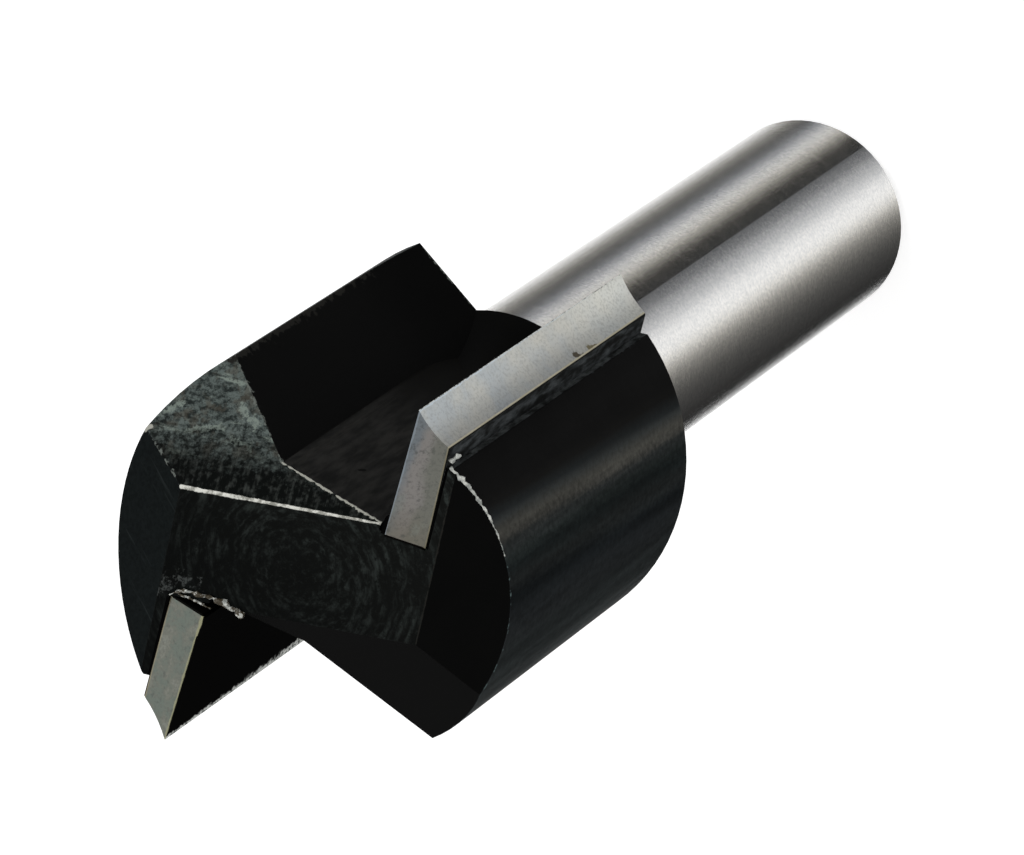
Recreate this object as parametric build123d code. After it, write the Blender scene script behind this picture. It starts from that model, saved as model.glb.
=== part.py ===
"""Two-flute grooving router bit: a steel cutter body with two brazed carbide tips.

Millimetres and degrees. The bit stands on the end of its shank: the origin is the centre of
that end face, +Z runs up the axis to the cutting end, and +X points at the outer cutting corner
of tip 1. Tip 2 and what lies round it is tip 1 turned half a turn about the axis. The two gullets were
milled and touched up one at a time, so their floors and the bevels over them differ a little.
"""
from build123d import *
from math import cos, radians, sin, sqrt, tan
import os

# The whole bit
overall_length = 72.0
cutting_diameter = 25.0
flute_count = 2

# Shank
shank_diameter = 12.0
shank_end_chamfer = 0.8
neck_fillet = 0.8

# Head: the thick end of the body, turned from the same bar as the shank
head_length = 26.0
tip_side_stand_out = 1.2
tip_end_stand_out = 0.75

# End of the head: a faced parallelogram between two bevels over the lobes and two over the gullets
end_flat_length = 14.6
relief_bevel_azimuth = -67.0
relief_bevel_angle = 27.9
gullet_bevel_azimuth = 33.9
gullet_bevel_1_distance = 3.56
gullet_bevel_1_angle = 39.0
gullet_bevel_2_distance = 2.68
gullet_bevel_2_angle = 32.6

# Gullets: the chip space in front of each tip, a wall and a floor that run along the axis
floor_1_distance = 4.73
floor_1_azimuth = 18.7
floor_2_distance = 3.66
floor_2_azimuth = 12.9
wall_offset = 2.8
wall_azimuth = -8.9
gullet_corner_radius = 0.4

# Run-out of the gullets at the back of the head
runout_length = 6.5
hub_diameter = 14.1
wall_runout_rise = 1.3

# Carbide tips
tip_width = 7.4
tip_thickness = 2.1
tip_taper = 2.2
hook_angle = 19.5
side_clearance = 19.0
side_relief_crown = 0.12
dish_angle = 2.5
end_clearance = 14.0
unground_width = 0.7
unground_height = 0.2
unground_runout = 0.5

# Seat of a tip in the body
braze_gap = 0.12
seat_access = 0.5
seat_1_spread = 0.0
seat_2_spread = 0.62
land_drop = 0.38
land_width = 0.5

# How far a cutting shape reaches past the metal that it removes
reach = 4.0

cutting_radius = cutting_diameter / 2
head_radius = cutting_radius - tip_side_stand_out
shank_radius = shank_diameter / 2
hub_radius = hub_diameter / 2
head_back = overall_length - head_length
head_face = overall_length - tip_end_stand_out
flute_turn = 360.0 / flute_count

rake_line = (90.0 + hook_angle, -cutting_radius * sin(radians(hook_angle)))
floor_lines = [(floor_1_azimuth, floor_1_distance), (floor_2_azimuth, floor_2_distance)]
wall_line = (wall_azimuth, wall_offset)


def direction(azimuth):
    """Unit vector at an azimuth from +X, square to the axis."""
    return Vector(cos(radians(azimuth)), sin(radians(azimuth)))


def meet(first, second):
    """Point where two lines cross, each given as (azimuth of its normal, distance from the axis)."""
    a, b = direction(first[0]), direction(second[0])
    cross = a.X * b.Y - a.Y * b.X
    x = (first[1] * b.Y - second[1] * a.Y) / cross
    y = (a.X * second[1] - b.X * first[1]) / cross
    return Vector(x, y)


def arc_rise(length, rise):
    """Radius of the arc that leaves a line at a tangent and stands off it by rise after length."""
    return (length**2 + rise**2) / (2 * rise)


def turned(shape, index):
    """The same shape at flute number index."""
    return Rot(0, 0, index * flute_turn) * shape


# Tip coordinates: u runs inwards along the rake face from the cutting corner, v runs to its back
rake_inward = direction(180.0 + hook_angle)
rake_back = direction(hook_angle - 90.0)
tip_corner = Vector(cutting_radius, 0)


def tip_point(u, v):
    """Point of the cross-section in the tip's own coordinates."""
    return tip_corner + rake_inward * u + rake_back * v


def depth_at(radius, v):
    """u of the point at this distance behind the rake face that lies on the given radius."""
    half = cutting_radius * cos(radians(hook_angle))
    rest = cutting_radius**2 + v**2 + 2 * cutting_radius * v * sin(radians(hook_angle)) - radius**2
    return half - sqrt(half**2 - rest)


def prism(points, bottom, top):
    """Straight prism over a polygon of the cross-section."""
    outline = Polyline(*points, close=True)
    return Pos(0, 0, bottom) * extrude(make_face(outline), amount=top - bottom)


def back_at(u):
    """v of the tip's back, which tapers towards the cutting corner from its full thickness."""
    return tip_thickness - (tip_width - u) * tan(radians(tip_taper))


def relief_end(gap):
    """Point where the outer relief face reaches the line that lies this gap behind the tip's back."""
    relief_slope = tan(radians(hook_angle + side_clearance))
    v = (back_at(0) + gap) / (1 - relief_slope * tan(radians(tip_taper)))
    return tip_point(v * relief_slope, v)


def shank_and_hub(core_radius):
    """Turned core: chamfered shank, neck fillet, and the hub that a gullet floor runs out on."""
    flare = arc_rise(runout_length, hub_radius - core_radius)
    middle_height = runout_length / 2
    middle_radius = core_radius + flare - sqrt(flare**2 - middle_height**2)
    bend = neck_fillet * (1 - cos(radians(45.0)))
    shank_side = Polyline(
        (0, 0, 0),
        (shank_radius - shank_end_chamfer, 0, 0),
        (shank_radius, 0, shank_end_chamfer),
        (shank_radius, 0, head_back - neck_fillet),
    )
    neck = ThreePointArc(
        (shank_radius, 0, head_back - neck_fillet),
        (shank_radius + bend, 0, head_back - bend),
        (shank_radius + neck_fillet, 0, head_back),
    )
    back_face = Line((shank_radius + neck_fillet, 0, head_back), (hub_radius, 0, head_back))
    flared_hub = ThreePointArc(
        (hub_radius, 0, head_back),
        (middle_radius, 0, head_back + middle_height),
        (core_radius, 0, head_back + runout_length),
    )
    closing = Polyline((core_radius, 0, head_back + runout_length), (0, 0, head_back + runout_length), (0, 0, 0))
    return revolve(make_face([shank_side, neck, back_face, flared_hub, closing]), axis=Axis.Z)


def core():
    """Shank and hub, where each half of the hub runs out from the floor of its own gullet."""
    halves = []
    for index, floor_line in enumerate(floor_lines):
        side = Plane(origin=(0, 0, 0), z_dir=direction(floor_1_azimuth + index * flute_turn))
        halves.append(split(shank_and_hub(floor_line[1]), bisect_by=side, keep=Keep.TOP))
    return halves[0] + halves[1]


def gullet(floor_line):
    """Chip space of flute 1 over the whole head, open to the rim and to the cutting end."""
    corner = meet(wall_line, floor_line)
    root = meet(floor_line, rake_line)
    rake_out = root - rake_inward * cutting_diameter
    wall_out = corner + direction(wall_azimuth + 90.0) * cutting_diameter
    outline = make_face(Polyline(root, rake_out, wall_out, corner, close=True))
    bend = outline.vertices().sort_by_distance(corner)[0]
    outline = fillet(bend, gullet_corner_radius)
    return Pos(0, 0, head_back) * extrude(outline, amount=head_length + reach)


def wall_runout():
    """Metal that the milling cutter left on the gullet wall of flute 1 as it ran out."""
    curve = arc_rise(runout_length, wall_runout_rise)
    middle_height = runout_length / 2
    middle_rise = curve - sqrt(curve**2 - middle_height**2)
    start = wall_offset
    ramp = ThreePointArc(
        (start + wall_runout_rise, head_back),
        (start + middle_rise, head_back + middle_height),
        (start, head_back + runout_length),
    )
    sides = Polyline(
        (start, head_back + runout_length),
        (start - gullet_corner_radius, head_back + runout_length),
        (start - gullet_corner_radius, head_back),
        (start + wall_runout_rise, head_back),
    )
    normal = direction(wall_azimuth)
    along = direction(wall_azimuth + 90.0)
    inner_end = floor_2_distance / 2
    section = Plane(origin=along * inner_end, x_dir=normal, z_dir=along * -1)
    wedge = extrude(section * make_face([ramp, sides]), amount=-head_radius)
    whole_head = Pos(0, 0, head_back) * extrude(Circle(head_radius), amount=runout_length)
    return wedge & whole_head


def bevel_plane(azimuth, distance, angle):
    """Plane that falls away from the faced end, outwards at an azimuth from a given distance."""
    outward = direction(azimuth)
    normal = outward * sin(radians(angle)) + Vector(0, 0, 1) * cos(radians(angle))
    return Plane(origin=outward * distance + Vector(0, 0, head_face), z_dir=normal)


def gullet_bevel(distance, angle):
    """Metal above a bevel over gullet 1, which ends at the seat of tip 1."""
    side = back_at(0)
    zone = [tip_point(u, v) for u, v in (
        (-reach, side),
        (cutting_diameter + reach, side),
        (cutting_diameter + reach, -cutting_diameter),
        (-reach, -cutting_diameter),
    )]
    plane = bevel_plane(gullet_bevel_azimuth, distance, angle)
    return split(prism(zone, head_back, overall_length), bisect_by=plane, keep=Keep.TOP)


def seat(spread):
    """Pocket for tip 1 and its braze, with room in front and some spread at its inner end."""
    depth = tip_width + braze_gap
    pocket = [tip_point(u, v) for u, v in (
        (-reach, -seat_access),
        (depth + spread, -seat_access),
        (depth, back_at(depth) + braze_gap),
        (-reach, back_at(-reach) + braze_gap),
    )]
    return prism(pocket, head_back, overall_length)


def ground_land():
    """Metal ground off the rim of the body just behind tip 1."""
    near = back_at(0) + braze_gap
    far = near + land_width
    inner = tip_point(depth_at(head_radius - land_drop, near), near)
    outer = tip_point(depth_at(head_radius, far), far)
    past_seat = inner + (inner - outer)
    removed = [past_seat, outer, tip_point(-reach, far), tip_point(-reach, 0)]
    return prism(removed, head_back, overall_length)


def cutter_body():
    """Shank and head in one piece, with its gullets, end bevels, seats and ground lands."""
    head = Pos(0, 0, head_back) * extrude(Circle(head_radius), amount=head_face - head_back)
    for index in range(flute_count):
        head -= turned(gullet(floor_lines[index]), index)
    body = head + core()
    for index in range(flute_count):
        body += turned(wall_runout(), index)
    for index in range(flute_count):
        side = index * flute_turn
        relief = bevel_plane(relief_bevel_azimuth + side, end_flat_length / 2, relief_bevel_angle)
        body = split(body, bisect_by=relief, keep=Keep.BOTTOM)
    gullet_bevels = [
        gullet_bevel(gullet_bevel_1_distance, gullet_bevel_1_angle),
        gullet_bevel(gullet_bevel_2_distance, gullet_bevel_2_angle),
    ]
    seats = [seat(seat_1_spread), seat(seat_2_spread)]
    for index in range(flute_count):
        body -= turned(gullet_bevels[index], index)
        body -= turned(seats[index], index)
        body -= turned(ground_land(), index)
    return body


def end_relief_plane():
    """End relief face of tip 1, with the end cutting edge dished towards the axis."""
    inward = rake_inward - Vector(0, 0, tan(radians(dish_angle)))
    backward = rake_back - Vector(0, 0, tan(radians(end_clearance)))
    normal = inward.cross(backward)
    if normal.Z < 0:
        normal = normal * -1
    return Plane(origin=tip_corner + Vector(0, 0, overall_length), z_dir=normal)


def ground_blank(outline):
    """Blank over a cross-section, from the back of the head to the end relief face."""
    blank = Pos(0, 0, head_back) * extrude(outline, amount=head_length + reach)
    return split(blank, bisect_by=end_relief_plane(), keep=Keep.BOTTOM)


def carbide_tip():
    """Tip 1: hooked rake face, crowned side relief, and the strip that the rake grinding left."""
    strip_start = tip_width - unground_width
    ramp_start = strip_start - unground_runout
    faces = Polyline(*[tip_point(u, v) for u, v in (
        (strip_start, -unground_height),
        (tip_width, -unground_height),
        (tip_width, tip_thickness),
    )])
    back = Line(tip_point(tip_width, tip_thickness), relief_end(0))
    relief = SagittaArc(relief_end(0), tip_point(0, 0), side_relief_crown)
    rake = Line(tip_point(0, 0), tip_point(ramp_start, 0))
    ramp = SagittaArc(tip_point(ramp_start, 0), tip_point(strip_start, -unground_height), -unground_height / 3)
    return ground_blank(make_face([faces, back, relief, rake, ramp]))


def braze_seam():
    """Braze of tip 1: a thin layer behind and under the tip, ground off flush with its reliefs."""
    depth = tip_width + braze_gap
    layer = [tip_point(u, v) for u, v in (
        (tip_width, tip_thickness),
        (tip_width, 0),
        (depth, 0),
        (depth, back_at(depth) + braze_gap),
    )]
    outline = Polyline(relief_end(0), *layer, relief_end(braze_gap), close=True)
    return ground_blank(make_face(outline))


parts = {"cutter_body": cutter_body()}
for number in range(flute_count):
    parts[f"carbide_tip_{number + 1}"] = turned(carbide_tip(), number)
    parts[f"braze_seam_{number + 1}"] = turned(braze_seam(), number)

os.makedirs("parts", exist_ok=True)
for name, solid in parts.items():
    export_step(solid, f"parts/{name}.step")
    print(name, round(solid.volume, 2), "mm3")
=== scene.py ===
# %% [markdown]
# # Grooving router bit
# A router bit for cutting grooves in wood: a ground steel shank, a blackened head with two deep
# gullets, and two brazed carbide tips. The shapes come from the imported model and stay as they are.
# This lesson gives them the camera, the light and the finishes, and adds the burrs that the milling
# cutter left. The bit stands on the end of its shank, with its cutting end up.

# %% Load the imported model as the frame
from math import cos, pi, radians, sin
from random import Random

import bpy
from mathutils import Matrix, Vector


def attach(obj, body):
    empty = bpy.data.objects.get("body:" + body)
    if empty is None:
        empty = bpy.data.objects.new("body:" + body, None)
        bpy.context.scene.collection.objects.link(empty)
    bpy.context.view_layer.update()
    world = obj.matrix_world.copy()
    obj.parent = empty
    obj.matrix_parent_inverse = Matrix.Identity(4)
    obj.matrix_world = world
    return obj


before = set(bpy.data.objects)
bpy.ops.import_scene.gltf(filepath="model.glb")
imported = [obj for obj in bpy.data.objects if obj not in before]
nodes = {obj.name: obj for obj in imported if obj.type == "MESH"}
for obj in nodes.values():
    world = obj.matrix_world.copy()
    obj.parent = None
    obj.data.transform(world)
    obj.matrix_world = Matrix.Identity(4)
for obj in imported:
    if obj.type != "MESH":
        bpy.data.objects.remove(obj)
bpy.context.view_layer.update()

# %% [markdown]
# ## Camera
# The photograph looks down on the cutting end from about 60 degrees above the bench, with a long
# lens and the camera rolled, so the shank points to the upper right. A target to follow could aim
# the camera, but a place and three turns say the same in one step. Depth of field stays off.

# %% Camera
camera_place = (0.210377, -0.056658, 0.424370)
camera_turn = (-18.1289, 24.0777, -53.7684)
camera_lens = 281.25
camera_sensor = 36.0
nearest_seen = 0.01

bpy.ops.object.camera_add(
    location=camera_place, rotation=[radians(angle) for angle in camera_turn]
)
camera = bpy.context.object
camera.name = "camera"
camera.data.lens = camera_lens
camera.data.sensor_width = camera_sensor
camera.data.clip_start = nearest_seen
bpy.context.scene.camera = camera
bpy.context.scene.view_settings.view_transform = "Standard"
print("camera at", camera_place, "lens", camera_lens, "mm")

# %% [markdown]
# ## Small helpers for shader nodes
# A node tree is built by three steps: add a node, set its options, fill its inputs. `put` does the
# three in one line, and the short functions after it do sums and hand back the resulting socket.
# The finishes could be drawn by hand in the node editor, but a script can be read and repeated.

# %% Nodes, sums and colours
def put(tree, kind, inputs=None, **options):
    """Adds a node, sets its options, and fills its inputs with values or other nodes' sockets."""
    item = tree.nodes.new(kind)
    for name, value in options.items():
        setattr(item, name, value)
    for key, value in (inputs or {}).items():
        if isinstance(value, bpy.types.NodeSocket):
            tree.links.new(value, item.inputs[key])
        else:
            item.inputs[key].default_value = value
    return item


def calc(tree, operation, *values, clamp=False):
    """A Math node with its inputs filled in order."""
    inputs = dict(enumerate(values))
    return put(tree, "ShaderNodeMath", inputs, operation=operation, use_clamp=clamp).outputs[0]


def split(tree, vector):
    """The three parts of a vector."""
    return put(tree, "ShaderNodeSeparateXYZ", {0: vector}).outputs


def ramp_between(tree, value, start, end, low=0.0, high=1.0):
    """A soft step from low at start to high at end."""
    inputs = {0: value, 1: start, 2: end, 3: low, 4: high}
    return put(tree, "ShaderNodeMapRange", inputs, interpolation_type="SMOOTHSTEP").outputs[0]


def blend(tree, mask, first, second):
    """Colour that goes from first to second as the mask goes from 0 to 1."""
    return put(tree, "ShaderNodeMix", {0: mask, 6: first, 7: second}, data_type="RGBA").outputs[2]


def grey(level):
    """A neutral colour."""
    return (level, level, level, 1.0)


print("first node helpers ready")

# %% [markdown]
# ## Studio
# Polished steel shows its surroundings, and the light and dark bands along the shank are the
# windows and dark boards of a studio. Boards could be modelled, but a ring of tones in the world,
# by compass direction, gives the same bands with nothing to place. Only reflections see it. The
# camera sees plain white.

# %% Tones of the boards: azimuth in degrees, tone, and warmth
board_tones = [
    (-180, 1.10, 0), (-173, 1.10, 0), (-163, 0.03, 0), (-155, 0.02, 0),
    (-145, 0.02, 1), (-107, 0.055, 1), (-91, 0.09, 2), (-75, 0.21, 3),
    (-67, 0.31, 3), (-59, 0.64, 3), (-51, 0.98, 1), (-43, 1.00, 0),
    (-30, 0.95, 0), (-19, 0.64, -1), (-11, 0.46, -1), (-3, 0.43, -1),
    (5, 0.17, -2), (13, 0.05, -3), (22, 0.015, 0), (31, 0.015, 3),
    (38, 0.05, 4), (45, 0.38, 6), (54, 0.80, 2), (61, 0.74, 0),
    (69, 0.45, -4), (77, 0.11, -3), (90, 0.06, 0), (107, 0.15, 4),
    (117, 0.34, 4), (133, 0.86, 0), (149, 1.15, 0), (168, 1.20, 0),
]


def board_colour(tone, warmth):
    """Tone with a cast: warm light is short of blue, and cool light is short of red."""
    return (tone * (1 + 0.012 * warmth), tone, tone * (1 - 0.025 * warmth), 1.0)


board_ring = [
    ((azimuth + 180) / 360, board_colour(tone, warmth)) for azimuth, tone, warmth in board_tones
]
print("boards:", len(board_ring))

# %% Scale of tones
def tone_scale(tree, value, tones):
    """Colour read off a scale of tones, each a position from 0 to 1 and a colour."""
    scale = put(tree, "ShaderNodeValToRGB", {0: value})
    stops = scale.color_ramp.elements
    while len(stops) > 1:
        stops.remove(stops[0])
    stops[0].position = 0.0
    for index, (position, tone) in enumerate(tones):
        stop = stops[0] if index == 0 else stops.new(position)
        stop.color = tone
    print("scale of", len(stops), "tones")
    return scale.outputs["Color"]


print("a scale takes up to 32 tones")

# %% World
white = grey(1.0)
board_light = 1.2
ambient_level = 0.55
ceiling_tone = 0.28
ceiling_start, ceiling_full = 0.25, 0.85

world = bpy.data.worlds.new("studio")
bpy.context.scene.world = world
world.use_nodes = True
tree = world.node_tree
tree.nodes.clear()
direction = put(tree, "ShaderNodeTexCoord").outputs["Generated"]
east, north, up = split(tree, direction)
compass = calc(tree, "MULTIPLY_ADD", calc(tree, "ARCTAN2", north, east), 1 / (2 * pi), 0.5)
boards = tone_scale(tree, compass, board_ring)
overhead = ramp_between(tree, up, ceiling_start, ceiling_full)
mirrored = blend(tree, overhead, boards, grey(ceiling_tone))
path = put(tree, "ShaderNodeLightPath").outputs
soft = put(tree, "ShaderNodeBackground", {"Color": white, "Strength": ambient_level}).outputs[0]
shine = put(tree, "ShaderNodeBackground", {"Color": mirrored, "Strength": board_light}).outputs[0]
seen = put(tree, "ShaderNodeBackground", {"Color": white, "Strength": 1.0}).outputs[0]
lit = put(tree, "ShaderNodeMixShader", {0: path["Is Glossy Ray"], 1: soft, 2: shine}).outputs[0]
all_rays = put(tree, "ShaderNodeMixShader", {0: path["Is Camera Ray"], 1: lit, 2: seen})
put(tree, "ShaderNodeOutputWorld", {"Surface": all_rays.outputs[0]})
print("world: ambient", ambient_level)

# %% [markdown]
# ## Floor
# The bit stands on white paper. To the camera the paper glows a little, so that it meets the white
# world without a line, and it still keeps the shadow. Reflections pass through it to the boards,
# because the upright shank, seen from above, mirrors what lies round its foot.

# %% Empty material
def new_finish(name):
    """A material with an empty node tree."""
    finish = bpy.data.materials.new(name)
    finish.use_nodes = True
    finish.node_tree.nodes.clear()
    return finish, finish.node_tree


print("materials before the floor:", len(bpy.data.materials))

# %% Floor
floor_drop = 0.00002
floor_size = 6.0
floor_glow = 0.60
paper_tone = 0.8

bpy.ops.mesh.primitive_plane_add(size=floor_size, location=(0, 0, -floor_drop))
floor = bpy.context.object
floor.name = "floor"
floor.visible_glossy = False
paper, tree = new_finish("floor paper")
path = put(tree, "ShaderNodeLightPath").outputs
matt = put(tree, "ShaderNodeBsdfDiffuse", {"Color": grey(paper_tone)}).outputs[0]
glow = put(tree, "ShaderNodeEmission", {"Color": white, "Strength": floor_glow}).outputs[0]
bright = put(tree, "ShaderNodeAddShader", {0: matt, 1: glow}).outputs[0]
all_rays = put(tree, "ShaderNodeMixShader", {0: path["Is Camera Ray"], 1: matt, 2: bright})
put(tree, "ShaderNodeOutputMaterial", {"Surface": all_rays.outputs[0]})
floor.data.materials.append(paper)
print("floor:", floor_size, "m square")

# %% [markdown]
# ## Soft lamps
# Two large area lamps give the soft shadows of a light tent. A lamp is set by its direction and
# distance from the head, which is easier to change than a place and three turns.

# %% Soft lamps
head_middle = Vector((0, 0, 0.06))


def soft_lamp(name, azimuth, elevation, distance, size, power):
    """A square area lamp in a direction from the head of the bit, turned to face it."""
    turned, raised = radians(azimuth), radians(elevation)
    way = Vector((cos(turned) * cos(raised), sin(turned) * cos(raised), sin(raised)))
    turn = way.to_track_quat("Z", "Y").to_euler()
    bpy.ops.object.light_add(type="AREA", location=head_middle + way * distance, rotation=turn)
    lamp = bpy.context.object
    lamp.name = name
    lamp.data.size = size
    lamp.data.energy = power


soft_lamp("key lamp", azimuth=60, elevation=40, distance=0.75, size=0.40, power=1.6)
soft_lamp("fill lamp", azimuth=-120, elevation=35, distance=0.9, size=0.50, power=0.8)

# %% [markdown]
# ## Node groups, vectors and noise
# An effect that several finishes use is built once, as a node group with named sockets, and is
# placed in each of them with values of its own. Its sums need vectors and noise, so their
# helpers come first.

# %% Products, vectors and noise
def times(tree, *values):
    """The product of two or more values."""
    product = values[0]
    for value in values[1:]:
        product = calc(tree, "MULTIPLY", product, value)
    return product


def vector_calc(tree, operation, *values, result="Vector"):
    """A Vector Math node with its inputs filled in order."""
    inputs = dict(enumerate(values))
    return put(tree, "ShaderNodeVectorMath", inputs, operation=operation).outputs[result]


def dot(tree, vector, way):
    """How far a vector reaches along a way."""
    return vector_calc(tree, "DOT_PRODUCT", vector, way, result="Value")


def scaled(tree, vector, factor):
    """A vector made longer or shorter."""
    inputs = {0: vector, "Scale": factor}
    return put(tree, "ShaderNodeVectorMath", inputs, operation="SCALE").outputs[0]


def squeezed(tree, vector, factors):
    """A vector with a factor for each of its three parts."""
    return vector_calc(tree, "MULTIPLY", vector, factors)


def blend_value(tree, mask, first, second):
    """Number that goes from first to second as the mask goes from 0 to 1."""
    return put(tree, "ShaderNodeMix", {0: mask, 2: first, 3: second}, data_type="FLOAT").outputs[0]


def noise(tree, place, scale, detail=3.0, roughness=0.55):
    """A Noise Texture over a place in millimetres."""
    inputs = {"Vector": place, "Scale": scale, "Detail": detail, "Roughness": roughness}
    return put(tree, "ShaderNodeTexNoise", inputs).outputs["Fac"]


print("helpers for vectors and noise ready")

# %% Node groups
FLOAT, VECTOR = "NodeSocketFloat", "NodeSocketVector"


def new_group(name, inputs, outputs):
    """An empty shader node group with named sockets, and its input and output nodes."""
    group = bpy.data.node_groups.new(name, "ShaderNodeTree")
    for label, kind, default in inputs:
        socket = group.interface.new_socket(label, in_out="INPUT", socket_type=kind)
        if default is not None:
            socket.default_value = default
    for label, kind in outputs:
        group.interface.new_socket(label, in_out="OUTPUT", socket_type=kind)
    entry = group.nodes.new("NodeGroupInput")
    leave = group.nodes.new("NodeGroupOutput")
    return group, entry.outputs, leave.inputs


def use(tree, group, **inputs):
    """Places a node group in a tree. An underscore stands for a space in a socket's name."""
    named = {key.replace("_", " "): value for key, value in inputs.items()}
    return put(tree, "ShaderNodeGroup", named, node_tree=group).outputs


print("helpers for groups ready")

# %% [markdown]
# ## Effects shared by the finishes
# Three effects come back in several finishes, so each is a node group. `milled face` finds the
# faces that lie in a pair of planes, half a turn apart. It compares the place and the normal with
# the plane, so no face has to be picked by hand.

# %% Milled face
square_on_from = 0.98
milled_face, given, made = new_group(
    "milled face",
    [
        ("Place", VECTOR, None),
        ("Normal", VECTOR, None),
        ("Facing", VECTOR, None),
        ("Distance", FLOAT, 1.0),
        ("Slack", FLOAT, 0.03),
        ("Both Sides", FLOAT, 1.0),
    ],
    [("Mask", FLOAT)],
)


def along_pair(tree, vector, facing, both_sides):
    """How far a vector goes along a facing, or along the same facing half a turn round."""
    own, other = split(tree, vector), split(tree, facing)
    level = calc(tree, "MULTIPLY_ADD", own[0], other[0], times(tree, own[1], other[1]))
    level = blend_value(tree, both_sides, level, calc(tree, "ABSOLUTE", level))
    return calc(tree, "MULTIPLY_ADD", own[2], other[2], level)


pair = given["Facing"], given["Both Sides"]
reached = along_pair(milled_face, given["Place"], *pair)
off = calc(milled_face, "ABSOLUTE", calc(milled_face, "SUBTRACT", reached, given["Distance"]))
in_plane = calc(milled_face, "LESS_THAN", off, given["Slack"])
turned_along = along_pair(milled_face, given["Normal"], *pair)
square_on = calc(milled_face, "GREATER_THAN", turned_along, square_on_from)
milled_face.links.new(times(milled_face, in_plane, square_on), made["Mask"])
print("group:", milled_face.name)

# %% [markdown]
# `wear and highlight line` is a ragged bright line from one point to another. It marks wear, stains
# and painted edge highlights. An edge could be found by its sharpness, but then every edge would
# shine. Two points put each mark where the real one has it.

# %% Worn edge
wear_and_highlight_line, given, made = new_group(
    "wear and highlight line",
    [
        ("Place", VECTOR, None),
        ("Start", VECTOR, None),
        ("End", VECTOR, None),
        ("Start Width", FLOAT, 0.15),
        ("End Width", FLOAT, 0.15),
        ("Ragged", FLOAT, 0.5),
        ("Grain", FLOAT, 2.0),
    ],
    [("Mask", FLOAT)],
)
run = vector_calc(wear_and_highlight_line, "SUBTRACT", given["End"], given["Start"])
way = vector_calc(wear_and_highlight_line, "SUBTRACT", given["Place"], given["Start"])
run_squared = dot(wear_and_highlight_line, run, run)
share = calc(wear_and_highlight_line, "DIVIDE", dot(wear_and_highlight_line, way, run), run_squared, clamp=True)
across = vector_calc(wear_and_highlight_line, "SUBTRACT", way, scaled(wear_and_highlight_line, run, share))
gap = vector_calc(wear_and_highlight_line, "LENGTH", across, result="Value")
grit = noise(wear_and_highlight_line, given["Place"], given["Grain"], detail=4.0, roughness=0.6)
uneven = times(wear_and_highlight_line, calc(wear_and_highlight_line, "SUBTRACT", grit, 0.5), 4.0)
width = blend_value(wear_and_highlight_line, share, given["Start Width"], given["End Width"])
spread = calc(wear_and_highlight_line, "MULTIPLY_ADD", uneven, given["Ragged"], 1.0)
reach = calc(wear_and_highlight_line, "MAXIMUM", times(wear_and_highlight_line, width, spread), 0.001)
ratio = calc(wear_and_highlight_line, "DIVIDE", gap, reach)
wear_and_highlight_line.links.new(ramp_between(wear_and_highlight_line, ratio, 0.6, 1.0, 1.0, 0.0), made["Mask"])
print("group:", wear_and_highlight_line.name)

# %% [markdown]
# `ground lines` are the fine parallel scratches of a grinding wheel: a noise that is squeezed in
# one direction only. A fine layer gives the relief, and a broad one varies the tint.

# %% Ground lines
broad_share, fine_share = 0.6, 0.4
broad_fineness = 0.23
ground_lines, given, made = new_group(
    "ground lines",
    [("Place", VECTOR, None), ("Stretch", VECTOR, (1.0, 1.0, 1.0)), ("Fineness", FLOAT, 1.0)],
    [("Height", FLOAT), ("Tint", FLOAT)],
)
pulled = squeezed(ground_lines, given["Place"], given["Stretch"])
lines = noise(ground_lines, pulled, given["Fineness"], detail=5.0, roughness=0.65)
broad_scale = times(ground_lines, given["Fineness"], broad_fineness)
broad = noise(ground_lines, pulled, broad_scale, detail=2.0)
fine_part = times(ground_lines, lines, fine_share)
line_tint = calc(ground_lines, "MULTIPLY_ADD", broad, broad_share, fine_part)
ground_lines.links.new(lines, made["Height"])
ground_lines.links.new(line_tint, made["Tint"])
print("group:", ground_lines.name)

# %% [markdown]
# ## Body steel
# One bar of tool steel with two finishes: the head is blackened, and the shank is ground bright
# afterwards, up to the neck. The finish changes at a height, so one material holds both. Object
# coordinates are in metres, and the sums below are easier to read in millimetres.

# %% Sizes that the finishes use, in millimetres
neck_height = 45.25
back_height = 46.0
face_height = 71.25
top_height = 72.0
head_radius = 11.3
cutting_radius = 12.5
metres_to_mm = 1000.0


def plane_of(azimuth, distance, lean=90.0, height=0.0):
    """Facing and distance of a plane, from where it faces, how far off it is, and its lean."""
    turned, tilt = radians(azimuth), radians(lean)
    facing = (cos(turned) * sin(tilt), sin(turned) * sin(tilt), cos(tilt))
    return {"Facing": facing, "Distance": distance * sin(tilt) + height * cos(tilt)}


scuffed_bevel = plane_of(33.9, 3.56, 39.0, face_height)
lobe_bevel = plane_of(-67.0, 7.3, 27.9, face_height)
left_bevel = plane_of(113.0, 7.3, 27.9, face_height)
gullet_floor = plane_of(18.7, 4.73)
rake_plane = plane_of(109.5, -4.1726)
braze_back = plane_of(-68.3, 6.556)
print("scuffed bevel", scuffed_bevel, "lobe bevel", lobe_bevel)

# %% Places, faces, streaks and edges
def surface_place(tree):
    """Object coordinates in millimetres, and the way the surface faces."""
    given = put(tree, "ShaderNodeTexCoord").outputs
    return scaled(tree, given["Object"], metres_to_mm), given["Normal"]


def on_face(tree, place, normal, plane, both_sides=0.0):
    """Mask of a milled face, alone or with its twin half a turn round."""
    inputs = {"Place": place, "Normal": normal, "Both_Sides": both_sides, **plane}
    return use(tree, milled_face, **inputs)["Mask"]


def stretched(tree, place, azimuth, along, across):
    """Place squeezed so that a noise runs in streaks along an azimuth."""
    turn, scale = (0, 0, radians(azimuth)), (along, across, along)
    inputs = {"Vector": place, "Rotation": turn, "Scale": scale}
    return put(tree, "ShaderNodeMapping", inputs, vector_type="TEXTURE").outputs[0]


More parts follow.
